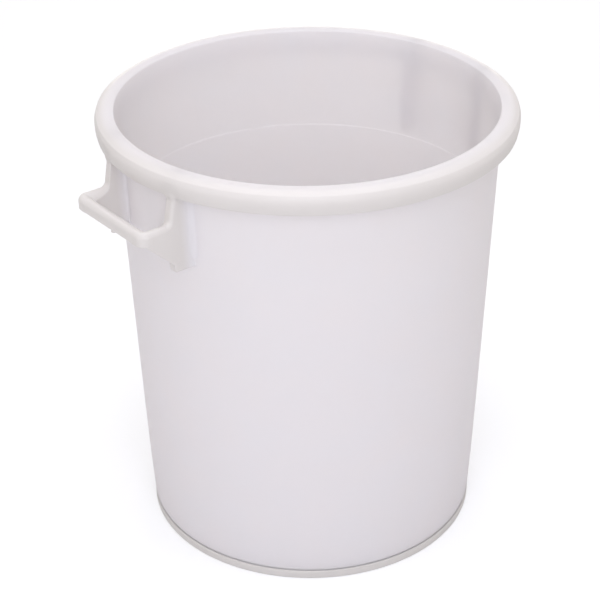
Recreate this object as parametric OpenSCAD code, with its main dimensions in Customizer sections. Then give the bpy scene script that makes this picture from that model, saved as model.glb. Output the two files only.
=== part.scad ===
// Round tub for proofing dough, open at the top, with two fixed loop handles.
// It is one plastic moulding. Each feature of it is a sub-part, and the sub-parts meet face to face.
// The origin is the middle of the foot on the floor. +Z is up, and the handles lie along -X and +X.

/* [Tub] */
// Height from the floor to the top of the rim
tub_h = 476; // [400:2:580]
// How much smaller the outside of the wall is at its foot than under the rim, in diameter
taper_d = 38; // [10:1:60]
// Thickness of the wall above the step inside
wall_t = 3.5; // [2:0.5:5]
// Thickness of the floor
floor_t = 4; // [3:0.5:6]
// Radius of the outside corner between wall and floor
corner_r = 3; // [2:0.5:5]
// Radius of the inside corner between wall and floor
corner_in_r = 8; // [5:1:14]
// How far the step inside the wall lies below the rim's top
step_drop = 112; // [60:2:200]
// How far the wall below the step stands in
step_w = 0.5; // [0.2:0.1:1]

/* [Foot] */
// Height of the foot ring
foot_h = 10; // [6:1:16]
// How far the foot ring is set back from the wall
foot_set = 1; // [0.5:0.5:3]
// Width of the foot ring
foot_w = 5; // [5:0.5:10]

/* [Rim] */
// Outer diameter of the rim
rim_d = 435; // [360:1:530]
// Height of the rim
rim_h = 24; // [20:1:34]
// Width of the rim, from the mouth to its outer face
rim_w = 22.2; // [19:0.1:28]
// Height of the rim's rounded top
crown_h = 5.5; // [5:0.5:7]
// Radius of the two rounded edges of the rim's top
crown_edge_r = 3; // [2:0.5:4]
// Thickness of the rim's skirt
skirt_t = 3.5; // [2:0.5:4.5]
// How far the skirt's lower edge stands in from its upper edge
skirt_lean = 1; // [0.5:0.5:2]

/* [Handles] */
// Length of the grip over both brackets
grip_len = 118; // [96:1:140]
// How far the grip's outer face lies beyond the rim
grip_out = 29; // [22:1:45]
// How far the top of the grip lies below the rim's top
grip_drop = 54.5; // [44:0.5:60]
// Height of the grip bar
grip_h = 12.5; // [10:0.5:16]
// Thickness of the grip bar
grip_t = 12.5; // [10:0.5:16]
// Radius of the grip bar's upper edge on the outside
grip_top_r = 4; // [2:0.5:6]
// Radius of the grip bar's upper edge towards the tub
grip_in_r = 1.5; // [1:0.5:3]
// Radius of the grip bar's lower edges
grip_low_r = 2; // [1:0.5:3]
// Radius of the grip's two outer corners, seen from above
grip_corner_r = 10; // [2:0.5:13]
// Thickness of a bracket at the wall, just under the rim
bracket_t = 8.5; // [6:0.5:12]
// Angle at which a bracket's inner face turns in from the wall to the grip
bracket_turn = 10; // [0:1:12]
// How far a bracket's upright stands out beyond the wall, just under the rim
upright_w = 9; // [5:0.5:10]
// Angle at which the upright leans out on its way down
upright_lean = 10; // [0:1:12]
// Radius of the inside corner between an upright and the top of its arm
upright_r = 5; // [2:0.5:8]
// How far in from the grip's outer face a bracket's sloping lower edge begins
slope_in = 5; // [0:0.5:8]
// How far a bracket's lower end lies below the rim's top
bracket_drop = 104; // [95:0.5:140]
// How far a bracket's lower end stands out beyond the wall
lug_w = 13; // [10:0.5:18]
// Height of the steep part of a bracket's lower end
lug_h = 9; // [4:0.5:12]
// How far the steep part leans out on its way up
lug_lean = 2; // [0.5:0.5:4]
// Diameter of the moulding pip under the grip
pip_d = 5; // [3:0.5:6]
// Length of the moulding pip
pip_h = 4; // [2:0.5:6]

/* [Hidden] */
$fn = 96;
body_colour = [0.93, 0.92, 0.94];
rim_colour = [0.96, 0.95, 0.97];
handle_colour = [0.88, 0.86, 0.85];

// Heights
rim_z = tub_h - rim_h;
crown_z = tub_h - crown_h;
floor_z = foot_h + floor_t;
step_z = tub_h - step_drop;
grip_z = tub_h - grip_drop;
grip_low_z = grip_z - grip_h;
lug_z = tub_h - bracket_drop;

// Radii. The wall is a straight taper from the foot to the rim
rim_r = rim_d / 2;
mouth_r = rim_r - rim_w;
wall_top_r = mouth_r + wall_t;
wall_low_r = wall_top_r - taper_d / 2;
slope = (wall_top_r - wall_low_r) / (rim_z - foot_h);
taper = atan(slope);
function wall_r(z) = wall_low_r + (z - foot_h) * slope;
foot_r = wall_low_r - foot_set;
low_t = wall_t + step_w;
// The flat underside and the flat floor end where the two corners begin
edge_r = wall_r(foot_h + corner_r) - corner_r / cos(taper);
edge_in_r = wall_r(floor_z + corner_in_r) - low_t - corner_in_r / cos(taper);

// The rim's top is a wide arc between two edge arcs, which it touches smoothly
crown_x = mouth_r + rim_w / 2;
edge_x = rim_w / 2 - crown_edge_r;
crown_r = (edge_x * edge_x + crown_h * crown_h - crown_edge_r * crown_edge_r) / (2 * (crown_h - crown_edge_r));
touch_x = edge_x * crown_r / (crown_r - crown_edge_r);
touch_z = tub_h - crown_r + (crown_r - crown_h) * crown_r / (crown_r - crown_edge_r);

// Handle seen from the side
grip_x = rim_r + grip_out;
grip_in_x = grip_x - grip_t;
upright_x = wall_top_r + upright_w;
arc_z = grip_z + upright_r;
arc_x = upright_x + (rim_z - arc_z) * tan(upright_lean) + upright_r / cos(upright_lean);
lug_x = wall_r(lug_z) + lug_w;

// Handle seen from above: half widths, the inner one at a distance x from the tub's axis
outer_y = grip_len / 2;
function inner_y(x) = outer_y - bracket_t - (x - wall_top_r) * tan(bracket_turn);
turn_x = grip_x - grip_corner_r;
turn_y = outer_y - grip_corner_r;
// Inside the wall over the bracket's whole width, so that the wall's outer face ends every bracket
deep_x = sqrt(wall_low_r * wall_low_r - outer_y * outer_y);

// Everything inside the wall's outer face, up to the underside of the rim's top
module tub_outline() {
    polygon([[0, foot_h], [edge_r, foot_h],
             [edge_r + corner_r * cos(taper), foot_h + corner_r - corner_r * sin(taper)],
             [wall_r(crown_z), crown_z], [0, crown_z]]);
    translate([edge_r, foot_h + corner_r]) circle(corner_r);
}

// The hollow of the tub. Inside the rim it is upright
module hollow_outline() {
    polygon([[0, floor_z], [edge_in_r, floor_z],
             [edge_in_r + corner_in_r * cos(taper), floor_z + corner_in_r - corner_in_r * sin(taper)],
             [wall_r(step_z) - low_t, step_z], [wall_r(step_z) - wall_t, step_z],
             [mouth_r, rim_z], [mouth_r, tub_h], [0, tub_h]]);
    translate([edge_in_r, floor_z + corner_in_r]) circle(corner_in_r);
}

module tub_wall() {
    color(body_colour) rotate_extrude() difference() {
        tub_outline();
        hollow_outline();
        square([edge_in_r, floor_z]);
    }
}

module tub_floor() {
    color(body_colour) translate([0, 0, foot_h]) cylinder(h = floor_t, r = edge_in_r);
}

module foot_ring() {
    color(body_colour) rotate_extrude()
        translate([foot_r - foot_w, 0]) square([foot_w, foot_h]);
}

// The rim's top, flat below. It closes the channel between the wall and the skirt
module rim_crown() {
    color(rim_colour) rotate_extrude() {
        polygon([[mouth_r, crown_z], [rim_r, crown_z], [crown_x + touch_x, touch_z],
                 [crown_x - touch_x, touch_z]]);
        for (x = [-edge_x, edge_x]) intersection() {
            translate([crown_x + x, crown_z]) circle(crown_edge_r);
            translate([mouth_r, crown_z]) square([rim_w, crown_h]);
        }
        intersection() {
            translate([crown_x, tub_h - crown_r]) circle(crown_r);
            translate([crown_x - touch_x, touch_z]) square([2 * touch_x, crown_h]);
        }
    }
}

module rim_skirt() {
    color(rim_colour) rotate_extrude()
        polygon([[rim_r - skirt_t, crown_z], [rim_r, crown_z], [rim_r - skirt_lean, rim_z],
                 [rim_r - skirt_lean - skirt_t, rim_z]]);
}

// The skirt and everything outside it
module skirt_outline() {
    polygon([[rim_r - skirt_t, crown_z], [rim_r + grip_out, crown_z], [rim_r + grip_out, rim_z],
             [rim_r - skirt_lean - skirt_t, rim_z]]);
}

// A bracket from the side: upright, arm, sloping lower edge and lower end
module bracket_side() {
    difference() {
        polygon([[deep_x, crown_z], [rim_r, crown_z], [rim_r, rim_z], [upright_x, rim_z],
                 [arc_x - upright_r * cos(upright_lean), arc_z - upright_r * sin(upright_lean)],
                 [arc_x, grip_z], [grip_x, grip_z], [grip_x, grip_low_z], [grip_x - slope_in, grip_low_z],
                 [lug_x + lug_lean, lug_z + lug_h], [lug_x, lug_z], [deep_x, lug_z]]);
        translate([arc_x, arc_z]) circle(upright_r);
        difference() {
            translate([grip_x - grip_top_r, grip_z - grip_top_r]) square(2 * grip_top_r);
            translate([grip_x - grip_top_r, grip_z - grip_top_r]) circle(grip_top_r);
        }
    }
}

// A bracket from above; side is 1 for the one towards +Y and -1 for the other
module bracket_plan(side) {
    difference() {
        polygon([[deep_x, side * outer_y], [grip_x, side * outer_y],
                 [grip_x, side * inner_y(grip_x)], [deep_x, side * inner_y(deep_x)]]);
        difference() {
            polygon([[turn_x, side * turn_y], [grip_x + grip_corner_r, side * turn_y],
                     [grip_x + grip_corner_r, side * grip_len], [turn_x, side * grip_len]]);
            translate([turn_x, side * turn_y]) circle(grip_corner_r);
        }
    }
}

module bracket(side) {
    color(handle_colour) difference() {
        intersection() {
            translate([0, grip_len, 0]) rotate([90, 0, 0]) linear_extrude(2 * grip_len) bracket_side();
            linear_extrude(tub_h) bracket_plan(side);
        }
        rotate_extrude() tub_outline();
        rotate_extrude() skirt_outline();
    }
}

// The grip bar in section
module grip_section() {
    polygon([[grip_in_x, grip_low_z + grip_low_r], [grip_in_x + grip_low_r, grip_low_z],
             [grip_x - grip_low_r, grip_low_z], [grip_x, grip_low_z + grip_low_r],
             [grip_x, grip_z - grip_top_r], [grip_x - grip_top_r, grip_z],
             [grip_in_x + grip_in_r, grip_z], [grip_in_x, grip_z - grip_in_r]]);
    translate([grip_x - grip_top_r, grip_z - grip_top_r]) circle(grip_top_r);
    translate([grip_in_x + grip_in_r, grip_z - grip_in_r]) circle(grip_in_r);
    for (x = [grip_in_x + grip_low_r, grip_x - grip_low_r])
        translate([x, grip_low_z + grip_low_r]) circle(grip_low_r);
}

module grip() {
    color(handle_colour) {
        intersection() {
            translate([0, grip_len / 2, 0]) rotate([90, 0, 0]) linear_extrude(grip_len) grip_section();
            linear_extrude(tub_h)
                polygon([[deep_x, inner_y(deep_x)], [grip_x, inner_y(grip_x)], [grip_x, -inner_y(grip_x)],
                         [deep_x, -inner_y(deep_x)]]);
        }
        translate([grip_x - grip_t / 2, 0, grip_low_z - pip_h]) cylinder(h = pip_h + grip_low_r, d = pip_d);
    }
}

module left_front_bracket() rotate([0, 0, 180]) bracket(1);
module left_rear_bracket() rotate([0, 0, 180]) bracket(-1);
module left_grip() rotate([0, 0, 180]) grip();
module right_front_bracket() bracket(-1);
module right_rear_bracket() bracket(1);
module right_grip() grip();

tub_wall();
tub_floor();
foot_ring();
rim_crown();
rim_skirt();
left_front_bracket();
left_rear_bracket();
left_grip();
right_front_bracket();
right_rear_bracket();
right_grip();
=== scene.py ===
import math

import bmesh
import bpy
import numpy as np
from mathutils import Matrix, Vector


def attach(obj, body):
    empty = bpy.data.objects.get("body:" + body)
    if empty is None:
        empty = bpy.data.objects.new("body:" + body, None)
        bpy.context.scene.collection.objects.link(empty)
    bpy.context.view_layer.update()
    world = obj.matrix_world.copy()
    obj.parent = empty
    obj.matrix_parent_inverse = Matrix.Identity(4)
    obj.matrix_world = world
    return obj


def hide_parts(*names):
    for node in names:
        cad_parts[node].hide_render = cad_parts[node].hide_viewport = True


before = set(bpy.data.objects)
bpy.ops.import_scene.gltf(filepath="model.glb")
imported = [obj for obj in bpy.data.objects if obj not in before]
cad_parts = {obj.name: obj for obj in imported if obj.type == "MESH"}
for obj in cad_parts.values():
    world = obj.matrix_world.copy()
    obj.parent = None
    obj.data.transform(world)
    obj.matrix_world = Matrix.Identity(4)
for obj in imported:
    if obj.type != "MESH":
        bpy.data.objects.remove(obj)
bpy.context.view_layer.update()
print("frame loaded:", len(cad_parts), "nodes")

mm = 0.001


def linearColour(hexValue):
    # sRGB hex to linear red, green, blue and alpha
    parts = [int(hexValue[i:i + 2], 16) / 255 for i in (0, 2, 4)]
    return [c / 12.92 if c <= 0.04045 else ((c + 0.055) / 1.055) ** 2.4 for c in parts] + [1.0]


def addNode(tree, kind, settings=None, inputs=None):
    # one node with its settings; an input given as a socket is linked, anything else is its value
    node = tree.nodes.new(kind)
    for key, value in (settings or {}).items():
        setattr(node, key, value)
    for key, value in (inputs or {}).items():
        if isinstance(value, bpy.types.NodeSocket):
            tree.links.new(value, node.inputs[key])
        else:
            node.inputs[key].default_value = value
    return node


def makePiece(name, points, faces, material, nodeNames):
    # points in mm become a smooth mesh that rides the frame in place of the named nodes
    mesh = bpy.data.meshes.new(name)
    mesh.from_pydata((points * mm).tolist(), [], faces.tolist())
    work = bmesh.new()
    work.from_mesh(mesh)
    bmesh.ops.remove_doubles(work, verts=work.verts, dist=1e-6)
    bmesh.ops.recalc_face_normals(work, faces=work.faces)
    work.to_mesh(mesh)
    work.free()
    mesh.shade_smooth()
    mesh.materials.append(material)
    piece = bpy.data.objects.new(name, mesh)
    bpy.context.scene.collection.objects.link(piece)
    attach(piece, "root")
    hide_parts(*nodeNames)
    print(name, "made:", len(mesh.polygons), "faces")


# The tub in mm, the same sizes as the CAD part. sinkDepth is the shallow sink mark above each bracket
tub = {
    "height": 476.0, "rimHeight": 24.0, "rimRadius": 217.5, "rimWidth": 22.2, "wall": 3.5, "taper": 19.0,
    "footHeight": 10.0, "footSet": 1.0, "footWidth": 5.0, "floor": 4.0, "footBend": 1.2, "bendHeight": 80.0,
    "footCorner": 3.5, "footGroove": 0.35, "innerCorner": 12.0, "stepDrop": 112.0, "stepWidth": 0.5,
    "mouthFlare": 2.3, "mouthDrop": 1.5, "creaseIn": 1.8, "creaseDrop": 4.0, "peakIn": 11.5, "bulgeDrop": 11.0,
    "skirt": 3.4, "skirtLean": 2.0, "channelDrop": 8.0,
    "sinkDepth": 0.25, "sinkAngles": (163.0, 197.0, -17.0, 17.0), "sinkWidth": 5.0,
    "segments": 480,
}
rimZ = tub["height"] - tub["rimHeight"]
mouthR = tub["rimRadius"] - tub["rimWidth"]
taperSlope = tub["taper"] / (rimZ - tub["footHeight"])


def wallRadius(height):
    # outer radius of the wall in mm at a height in mm, along its straight taper
    return mouthR + tub["wall"] - (rimZ - height) * taperSlope


def bentRadius(height):
    # the same with a slight bend inward near the foot: bend * (1 - rise / bend height) squared
    rise = np.clip((height - tub["footHeight"]) / tub["bendHeight"], 0, 1)
    return wallRadius(height) - tub["footBend"] * (1 - rise) ** 2


# Natural polyethylene, injection moulded: milky, waxy, a soft sheen; light passes through thin walls, and less where
# the moulding is thick or doubled, away from the wall and at the foot ring, which is painted darker and warmer there as
# shade
plastic = {
    "colour": "F8F8FB",
    "warmColour": "FCF8F8",
    # painted shade: the colour below darkens and warms the thick places, rim, handles and foot ring
    "thickShadeColour": "E7E3DF",
    "throughColour": "F9F7F7",
    "throughWall": 0.52,
    "throughHandle": 0.38,
    "throughThick": 0.25,
    "thickShadeFrom": 1.5,
    "thickShadeTo": 14.0,
    "roughness": 0.34,
    "specularLevel": 0.28,
    "ior": 1.54,
    "mottleMm": 45.0,
    "grainMm": 1.2,
    "grainDepthMm": 0.1,
    "grainStrength": 0.05,
    "roughnessSpread": 0.04,
}


def mouldedPolyethylene(name, throughThin):
    # throughThin is the share of light that passes through thin places; a place is thick by its distance outside the
    # wall's outer line, radius - (height * slope + offset), or below the foot's height; thick places let less light
    # through and are painted a darker, warmer colour as shade
    material = bpy.data.materials.new(name)
    material.use_nodes = True
    tree = material.node_tree
    tree.nodes.clear()
    coord = addNode(tree, "ShaderNodeTexCoord")
    height = addNode(tree, "ShaderNodeSeparateXYZ", {}, {0: coord.outputs["Object"]}).outputs["Z"]
    level = addNode(tree, "ShaderNodeVectorMath", {"operation": "MULTIPLY"},
                    {0: coord.outputs["Object"], 1: (1, 1, 0)})
    radius = addNode(tree, "ShaderNodeVectorMath", {"operation": "LENGTH"}, {0: level.outputs[0]})
    line = addNode(tree, "ShaderNodeMath", {"operation": "MULTIPLY_ADD"},
                   {0: height, 1: taperSlope, 2: wallRadius(0) * mm})
    away = addNode(tree, "ShaderNodeMath", {"operation": "SUBTRACT"},
                   {0: radius.outputs["Value"], 1: line.outputs[0]})
    outside = addNode(tree, "ShaderNodeMapRange", {"interpolation_type": "SMOOTHSTEP"}, {
        "Value": away.outputs[0], "From Min": plastic["thickShadeFrom"] * mm, "From Max": plastic["thickShadeTo"] * mm})
    below = addNode(tree, "ShaderNodeMath", {"operation": "LESS_THAN"}, {0: height, 1: tub["footHeight"] * mm})
    thickAndShade = addNode(tree, "ShaderNodeMath", {"operation": "MAXIMUM"}, {0: outside.outputs[0], 1: below.outputs[0]})
    flow = addNode(tree, "ShaderNodeTexNoise", {}, {"Vector": coord.outputs["Object"],
                   "Scale": 1 / (plastic["mottleMm"] * mm), "Detail": 3.0})
    thin = addNode(tree, "ShaderNodeMix", {"data_type": "RGBA"}, {"Factor": flow.outputs["Fac"],
                   "A": linearColour(plastic["colour"]), "B": linearColour(plastic["warmColour"])})
    # painted shade: thick places are mixed towards the darker, warmer colour
    tone = addNode(tree, "ShaderNodeMix", {"data_type": "RGBA"}, {"Factor": thickAndShade.outputs[0],
                   "A": thin.outputs["Result"], "B": linearColour(plastic["thickShadeColour"])})
    share = addNode(tree, "ShaderNodeMapRange", {}, {"Value": thickAndShade.outputs[0],
                    "To Min": throughThin, "To Max": plastic["throughThick"]})
    grain = addNode(tree, "ShaderNodeTexNoise", {}, {"Vector": coord.outputs["Object"],
                    "Scale": 1 / (plastic["grainMm"] * mm), "Detail": 2.0})
    sheen = addNode(tree, "ShaderNodeMapRange", {}, {"Value": flow.outputs["Fac"],
                    "To Min": plastic["roughness"] - plastic["roughnessSpread"],
                    "To Max": plastic["roughness"] + plastic["roughnessSpread"]})
    bump = addNode(tree, "ShaderNodeBump", {}, {"Height": grain.outputs["Fac"],
                   "Strength": plastic["grainStrength"], "Distance": plastic["grainDepthMm"] * mm})
    surface = addNode(tree, "ShaderNodeBsdfPrincipled", {}, {
        "Base Color": tone.outputs["Result"], "Roughness": sheen.outputs["Result"], "IOR": plastic["ior"],
        "Specular IOR Level": plastic["specularLevel"], "Normal": bump.outputs["Normal"]})
    through = addNode(tree, "ShaderNodeBsdfTranslucent", {}, {
        "Color": linearColour(plastic["throughColour"]), "Normal": bump.outputs["Normal"]})
    both = addNode(tree, "ShaderNodeMixShader", {}, {0: share.outputs[0], 1: surface.outputs["BSDF"],
                   2: through.outputs["BSDF"]})
    addNode(tree, "ShaderNodeOutputMaterial", {}, {"Surface": both.outputs[0]})
    return material


wallPlastic = mouldedPolyethylene("mouldedPolyethyleneWall", plastic["throughWall"])
handlePlastic = mouldedPolyethylene("mouldedPolyethyleneHandle", plastic["throughHandle"])
print("materials made")


def roundedPath(corners):
    # a path through corners given as radius, height and rounding; each rounding is an arc that touches both sides,
    # which starts rounding * tan(half the turn) before the corner
    spots = np.array([c[:2] for c in corners], float)
    path = [spots[:1]]
    for k in range(1, len(corners) - 1):
        rounding = corners[k][2]
        before, after = spots[k - 1] - spots[k], spots[k + 1] - spots[k]
        before, after = before / np.hypot(*before), after / np.hypot(*after)
        turn = math.pi - math.acos(float(np.clip(before @ after, -1, 1)))
        if rounding == 0 or turn < 1e-3:
            path.append(spots[k:k + 1])
            continue
        middle = (before + after) / np.hypot(*(before + after))
        centre = spots[k] + middle * rounding / math.cos(turn / 2)
        t = np.linspace(-turn / 2, turn / 2, 2 + int(math.degrees(turn) / 15))[:, None]
        aside = np.array([-middle[1], middle[0]]) * np.sign(middle[0] * before[1] - middle[1] * before[0])
        path.append(centre - rounding * (middle * np.cos(t) + aside * np.sin(t)))
    path.append(spots[-1:])
    return np.concatenate(path)


def column(radius, height):
    # points with a radius and a height each, without rounding
    return [(float(a), float(b), 0) for a, b in np.broadcast(radius, height)]


def tubProfile():
    # the closed outline of wall, rim, floor and foot ring in the radius-height plane, anticlockwise from the axis
    t = tub
    foot, floorZ, top, rimR = t["footHeight"], t["footHeight"] + t["floor"], t["height"], t["rimRadius"]
    channel = top - t["channelDrop"]
    footR = wallRadius(foot) - t["footSet"]
    lowWall = t["wall"] + t["stepWidth"]
    stepZ = top - t["stepDrop"]
    grooveR = footR - t["footGroove"]
    outerHeights = np.linspace(foot + t["footCorner"] + 2, rimZ, 30)
    creaseR, peakR = rimR - t["creaseIn"], rimR - t["peakIn"]
    crown = np.linspace(creaseR - 2, mouthR + t["mouthFlare"] + 2, 12)
    fall = np.where(crown > peakR, t["creaseDrop"] / (creaseR - peakR) ** 2,
                    t["mouthDrop"] / (peakR - mouthR - t["mouthFlare"]) ** 2)
    flare = np.linspace(top - t["mouthDrop"] - 3, rimZ, 6)
    flareR = mouthR + t["mouthFlare"] * ((flare - rimZ) / (top - t["mouthDrop"] - rimZ)) ** 1.6
    innerHeights, lowHeights = np.linspace(rimZ - 12, stepZ + 6, 5), np.linspace(stepZ - 6, floorZ + 25, 18)
    corners = (
        [(0, foot, 0), (40, foot, 0), (120, foot, 0), (footR - t["footWidth"], foot, 1.5),
         (footR - t["footWidth"], 0, 1), (footR, 0, 1.5), (footR, foot - 1, 0.8), (grooveR, foot - 0.6, 0.3),
         (grooveR, foot + 0.2, 0.3), (bentRadius(foot), foot + 0.2, t["footCorner"])]
        + column(bentRadius(outerHeights), outerHeights)
        + [(wallRadius(channel), channel, 2), (rimR - t["skirt"] - 0.8, channel, 2),
           (rimR - t["skirt"] - t["skirtLean"], rimZ - 0.5, 1), (rimR - t["skirtLean"], rimZ - 0.5, 1.8),
           (rimR - 0.1, top - t["bulgeDrop"] - 5, 15), (rimR + 0.05, top - t["bulgeDrop"] + 2, 12),
           (creaseR, top - t["creaseDrop"], 1.5)]
        + column(crown, top - fall * (crown - peakR) ** 2)
        + [(mouthR + t["mouthFlare"], top - t["mouthDrop"], 1.5)]
        + column(flareR, flare)
        + column(wallRadius(innerHeights) - t["wall"], innerHeights)
        + [(wallRadius(stepZ) - t["wall"], stepZ + 0.6, 0.5), (wallRadius(stepZ) - lowWall, stepZ - 0.6, 0.5)]
        + column(wallRadius(lowHeights) - lowWall, lowHeights)
        + [(wallRadius(floorZ) - lowWall, floorZ, t["innerCorner"]), (120, floorZ, 0), (40, floorZ, 0), (0, floorZ, 0)])
    return roundedPath(corners)


def revolve(profile, segments):
    # every outline point turned about the upright axis; quads between neighbouring columns and rows
    turn = np.linspace(0, 2 * np.pi, segments, endpoint=False)[:, None]
    radius, height = profile[:, 0][None, :], profile[:, 1][None, :]
    points = np.stack([radius * np.cos(turn), radius * np.sin(turn), height + 0 * turn], -1)
    a, b = np.meshgrid(np.arange(segments), np.arange(len(profile) - 1), indexing="ij")
    here, there, cols = a * len(profile) + b, ((a + 1) % segments) * len(profile) + b, 1
    return points.reshape(-1, 3), np.stack([here, there, there + cols, here + cols], -1).reshape(-1, 4)


def sinkMarks(points):
    # the rim's top is lowered by depth * exp(-(a*a + b*b)) at a spot, a and b the distances from it over its width
    radius = np.hypot(points[:, 0], points[:, 1])
    for angle in tub["sinkAngles"]:
        x = (tub["rimRadius"] - tub["peakIn"]) * math.cos(math.radians(angle))
        y = (tub["rimRadius"] - tub["peakIn"]) * math.sin(math.radians(angle))
        away = ((points[:, 0] - x) ** 2 + (points[:, 1] - y) ** 2) / tub["sinkWidth"] ** 2
        points[:, 2] -= tub["sinkDepth"] * np.exp(-away) * ((points[:, 2] > tub["height"] - 6) & (radius > mouthR))
    return points


shellPoints, shellFaces = revolve(tubProfile(), tub["segments"])
makePiece("tubShell", sinkMarks(shellPoints), shellFaces, wallPlastic,
          ["tub_wall", "tub_floor", "foot_ring", "rim_crown", "rim_skirt"])

# A handle in mm: u runs outward from the tub's axis, v along the grip, w upward
handle = {
    "reach": 246.3, "halfLength": 59.0, "cornerRadius": 10.0, "gripTop": 423.3, "gripLow": 409.0, "gripInner": 234.0,
    "topEdge": 4.0, "innerEdge": 0.8, "lowEdge": 1.2, "crown": 1.5, "peakIn": 4.5, "plateAtWall": 8.7,
    "plateTurn": 10.0, "uprightReach": 208.0, "uprightLean": 10.0, "uprightRadius": 5.0, "slopeStart": 241.0,
    "slopeRadius": 0.6, "lugTop": (210.0, 380.6), "lugLow": (208.6, 371.8), "lugEdge": 0.5,
    "pipAt": (242.8, 5.0), "pipRadius": 2.5, "pipLow": 405.6, "partingAt": 237.3, "partingStep": 0.35,
    "filletLow": 1.2, "filletHigh": 5.0, "filletFrom": 376.0, "filletRise": 12.0, "sink": 0.03, "depth": 1.2,
    "top": 468.0, "pipEdge": 0.8, "skirtSlope": 0.12, "cell": 0.75,
    "gridLow": (181.0, -66.0, 368.0), "gridHigh": (249.0, 66.6, 470.0),
}


def roundMax(a, b, r):
    # intersection of two distance fields whose edge is an arc of radius r
    return np.minimum(np.maximum(a, b), -r) + np.hypot(np.maximum(a + r, 0), np.maximum(b + r, 0))


def roundMin(a, b, r):
    # union of two distance fields whose inside corner is an arc of radius r
    return -roundMax(-a, -b, r)


def sideOf(u, w, start, end):
    # distance from the line through two points of the u-w plane, positive to its right
    du, dw = end[0] - start[0], end[1] - start[1]
    return ((u - start[0]) * dw - (w - start[1]) * du) / math.hypot(du, dw)


def handleField(p):
    # distance in mm from the handle's surface, negative inside: bracket and bar are joined, then a fillet joins them
    # to the wall and to the skirt, and what lies deep in the wall or far from the handle is cut off
    h = handle
    u, v, w = p[..., 0], np.abs(p[..., 1]), p[..., 2]
    outline = roundMax(v - h["halfLength"], u - h["reach"], h["cornerRadius"])
    crowned = h["gripTop"] - h["crown"] * (np.clip(outline, -14, 0) / h["peakIn"] + 1) ** 2
    lean, turn = math.radians(h["uprightLean"]), math.radians(h["plateTurn"])
    upright = (u - h["uprightReach"] - (rimZ - w) * math.tan(lean)) * math.cos(lean)
    top = roundMin(w - crowned, upright, h["uprightRadius"])
    slope = sideOf(u, w, h["lugTop"], (h["slopeStart"], h["gripLow"]))
    lug = sideOf(u, w, h["lugLow"], h["lugTop"])
    low = roundMin(roundMin(h["gripLow"] - w, slope, h["slopeRadius"]), lug, h["slopeRadius"])
    low = roundMax(low, h["lugLow"][1] - w, h["lugEdge"])
    inner = h["halfLength"] - h["plateAtWall"] - (u - wallRadius(rimZ)) * math.tan(turn)
    plate = roundMax(roundMax(outline, top, h["topEdge"]), (inner - v) * math.cos(turn), h["innerEdge"])
    bracket = roundMax(plate, low, h["lowEdge"])
    parting = h["partingStep"] * np.clip(h["partingAt"] - u, 0, 1)
    bar = roundMax(roundMax(outline, w - crowned + parting, h["topEdge"]), h["gripInner"] - u, h["innerEdge"])
    bar = roundMax(bar, h["gripLow"] - w, h["lowEdge"])
    pip = roundMax(np.hypot(u - h["pipAt"][0], p[..., 1] - h["pipAt"][1]) - h["pipRadius"], h["pipLow"] - w,
                   h["pipEdge"])
    pip = np.maximum(pip, w - h["gripTop"] + 4)
    body = np.minimum(roundMin(bracket, bar, h["innerEdge"]), pip)
    radius = np.hypot(u, v)
    wall = radius - wallRadius(w)
    skirtLow = tub["rimRadius"] - tub["skirtLean"]
    skirt = roundMax(roundMax(radius - skirtLow - (w - rimZ) * h["skirtSlope"], rimZ - 0.5 - w, 1.8),
                     skirtLow - tub["skirt"] - radius, 1.0)
    rise = np.clip((w - h["filletFrom"]) / h["filletRise"], 0, 1)
    fillet = h["filletLow"] + (h["filletHigh"] - h["filletLow"]) * rise * rise * (3 - 2 * rise)
    joined = roundMin(body, np.minimum(wall, skirt) + h["sink"], fillet)
    cut = np.maximum(-wall - h["depth"], w - h["top"])
    return np.maximum(np.maximum(joined, cut), body - fillet - 1)


def surfaceNet(field, low, cell):
    # one point per grid cell that the surface crosses, at the mean of the crossings of its edges, and one quad
    # round each crossed edge, facing from inside (negative) to outside
    inside = field < 0
    step = np.eye(3, dtype=int)
    cells, spots, flips = [], [], []
    for axis in range(3):
        lead, side = (axis + 1) % 3, (axis + 2) % 3
        first, second = [slice(None)] * 3, [slice(None)] * 3
        first[axis], second[axis] = slice(None, -1), slice(1, None)
        edge = np.argwhere(inside[tuple(first)] != inside[tuple(second)])
        a, b = field[tuple(edge.T)], field[tuple((edge + step[axis]).T)]
        cells.append(np.stack([edge, edge - step[lead], edge - step[lead] - step[side], edge - step[side]], 1))
        spots.append(edge + (a / (a - b))[:, None] * step[axis])
        flips.append(a > 0)
    cells, spots, flips = np.concatenate(cells), np.concatenate(spots), np.concatenate(flips)
    number = np.ravel_multi_index(tuple(cells.reshape(-1, 3).T), field.shape)
    used, index = np.unique(number, return_inverse=True)
    index = index.ravel()
    count = np.bincount(index, minlength=len(used))
    each = np.repeat(spots, 4, axis=0)
    points = np.stack([np.bincount(index, each[:, k], len(used)) / count for k in range(3)], -1)
    quads = index.reshape(-1, 4)
    quads[flips] = quads[flips][:, ::-1]
    return low + points * cell, quads


def ontoSurface(points, reach):
    # each point moves along the field's slope by value / slope, at most by reach, three times
    for _ in range(3):
        value = handleField(points)
        slope = np.stack([(handleField(points + d) - handleField(points - d)) / 0.1 for d in np.eye(3) * 0.05], -1)
        move = -value[:, None] * slope / np.maximum((slope ** 2).sum(-1, keepdims=True), 0.25)
        points = points + np.clip(move, -reach, reach)
    return points


axes = [np.arange(a, b, handle["cell"]) for a, b in zip(handle["gridLow"], handle["gridHigh"])]
gridField = handleField(np.stack(np.meshgrid(*axes, indexing="ij"), -1))
handlePoints, handleFaces = surfaceNet(gridField, np.array(handle["gridLow"]), handle["cell"])
handlePoints = ontoSurface(handlePoints, handle["cell"] / 2)
for name, side in (("left", -1), ("right", 1)):
    placed = handlePoints * np.array([side, side, 1])
    makePiece(name + "Handle", placed, handleFaces, handlePlastic,
              [name + "_front_bracket", name + "_grip", name + "_rear_bracket"])

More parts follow.
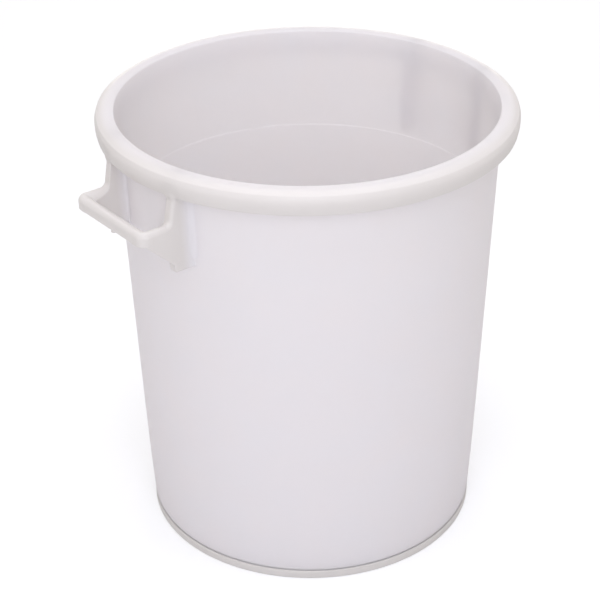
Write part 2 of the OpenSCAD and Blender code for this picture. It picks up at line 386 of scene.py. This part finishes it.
# Camera, fitted to the photograph: its place in rim radii, with the handles turned from the picture's axes
shot = {
    "focal": 1742.7, "distance": 8.7216, "elevation": 29.6932, "roll": -0.7923, "side": -0.0471,
    "aimHeight": 1.1058, "turn": -37.7, "sensor": 36.0, "imageWidth": 600,
}


def photoCamera():
    lens = bpy.data.cameras.new("photoCamera")
    lens.sensor_width = shot["sensor"]
    lens.lens = shot["focal"] / shot["imageWidth"] * shot["sensor"]
    lens.clip_start, lens.clip_end = 0.1, 20.0
    camera = bpy.data.objects.new("photoCamera", lens)
    bpy.context.scene.collection.objects.link(camera)
    up = math.radians(shot["elevation"])
    radius = tub["rimRadius"] * mm
    turn = Matrix.Rotation(math.radians(shot["turn"]), 4, "Z")
    place = Vector((shot["side"], -shot["distance"] * math.cos(up),
                    shot["aimHeight"] + shot["distance"] * math.sin(up))) * radius
    tilt = Matrix.Rotation(math.pi / 2 - up, 4, "X") @ Matrix.Rotation(math.radians(shot["roll"]), 4, "Z")
    camera.matrix_world = turn @ Matrix.Translation(place) @ tilt
    bpy.context.scene.camera = camera


photoCamera()

# Soft boxes all round in a pale room, each with its azimuth from the camera, elevation, power and tint
studio = {
    "boxes": {"front": (0, 35, 24.0, "cool"), "top": (0, 85, 22.0, "cool"), "highRight": (90, 62, 13.0, "cool"),
              "highLeft": (270, 62, 8.0, "cool"), "highBack": (180, 62, 5.0, "cool"),
              "left": (270, 35, 6.0, "warm"), "lowBack": (180, 8, 14.0, "warm"),
              "lowRight": (90, 8, 6.0, "warm"), "lowFront": (0, 8, 15.0, "cool"), "lowLeft": (315, 8, 5.0, "cool")},
    "boxDistance": 2.6, "boxSize": 2.0, "boxAim": 0.3, "cool": "F3F5FF", "warm": "FFF8EF",
    "roomLight": 0.34, "floorColour": "D8D9DB", "floorGlow": 0.37, "floorSize": 3.6,
}


def softBox(name, azimuth, elevation, power, tint):
    lamp = bpy.data.lights.new(name, "AREA")
    lamp.shape, lamp.size, lamp.energy = "DISK", studio["boxSize"], power
    lamp.color = linearColour(studio[tint])[:3]
    box = bpy.data.objects.new(name, lamp)
    bpy.context.scene.collection.objects.link(box)
    a, e = math.radians(azimuth + shot["turn"] - 90), math.radians(elevation)
    aim = Vector((0, 0, studio["boxAim"]))
    box.location = aim + studio["boxDistance"] * Vector(
        (math.cos(a) * math.cos(e), math.sin(a) * math.cos(e), math.sin(e)))
    box.rotation_euler = (aim - box.location).to_track_quat("-Z", "Y").to_euler()


for name, values in studio["boxes"].items():
    softBox(name, *values)


def seenDirectly(tree):
    # 1 for camera, glossy and clear transmission rays, which see the pale surroundings, and 0 for the light that
    # falls; the light that spreads inside milky plastic is a diffuse transmission ray, so that one is taken off
    ray = addNode(tree, "ShaderNodeLightPath")
    glossy = addNode(tree, "ShaderNodeMath", {"operation": "MAXIMUM"},
                     {0: ray.outputs["Is Camera Ray"], 1: ray.outputs["Is Glossy Ray"]})
    clear = addNode(tree, "ShaderNodeMath", {"operation": "SUBTRACT"},
                    {0: ray.outputs["Is Transmission Ray"], 1: ray.outputs["Is Diffuse Ray"]})
    return addNode(tree, "ShaderNodeMath", {"operation": "MAXIMUM"},
                   {0: glossy.outputs[0], 1: clear.outputs[0]}).outputs[0]


room = bpy.data.worlds.new("paleRoom")
room.use_nodes = True
bpy.context.scene.world = room
roomTree = room.node_tree
roomTree.nodes.clear()
seen = addNode(roomTree, "ShaderNodeBackground", {}, {"Color": (1, 1, 1, 1), "Strength": 1.0})
lit = addNode(roomTree, "ShaderNodeBackground", {}, {"Color": linearColour(studio["warm"]),
              "Strength": studio["roomLight"]})
pick = addNode(roomTree, "ShaderNodeMixShader", {}, {0: seenDirectly(roomTree), 1: lit.outputs[0],
               2: seen.outputs[0]})
addNode(roomTree, "ShaderNodeOutputWorld", {}, {"Surface": pick.outputs[0]})

# The floor: pale card that the camera sees as white, with the tub's shadow on it
half = studio["floorSize"] / 2
floorMesh = bpy.data.meshes.new("floor")
floorMesh.from_pydata([(-half, -half, 0), (half, -half, 0), (half, half, 0), (-half, half, 0)], [], [(0, 1, 2, 3)])
floor = bpy.data.objects.new("floor", floorMesh)
bpy.context.scene.collection.objects.link(floor)
card = bpy.data.materials.new("paleCard")
card.use_nodes = True
cardTree = card.node_tree
cardTree.nodes.clear()
cardShader = addNode(cardTree, "ShaderNodeBsdfDiffuse", {}, {"Color": linearColour(studio["floorColour"])})
cardGlow = addNode(cardTree, "ShaderNodeEmission", {}, {"Color": (1, 1, 1, 1), "Strength": studio["floorGlow"]})
cardBoth = addNode(cardTree, "ShaderNodeAddShader", {}, {0: cardShader.outputs[0], 1: cardGlow.outputs[0]})
cardPick = addNode(cardTree, "ShaderNodeMixShader", {}, {0: seenDirectly(cardTree),
                   1: cardShader.outputs[0], 2: cardBoth.outputs[0]})
addNode(cardTree, "ShaderNodeOutputMaterial", {}, {"Surface": cardPick.outputs[0]})
floorMesh.materials.append(card)

bpy.context.scene.view_settings.view_transform = "Standard"
print("camera, lights and floor made")
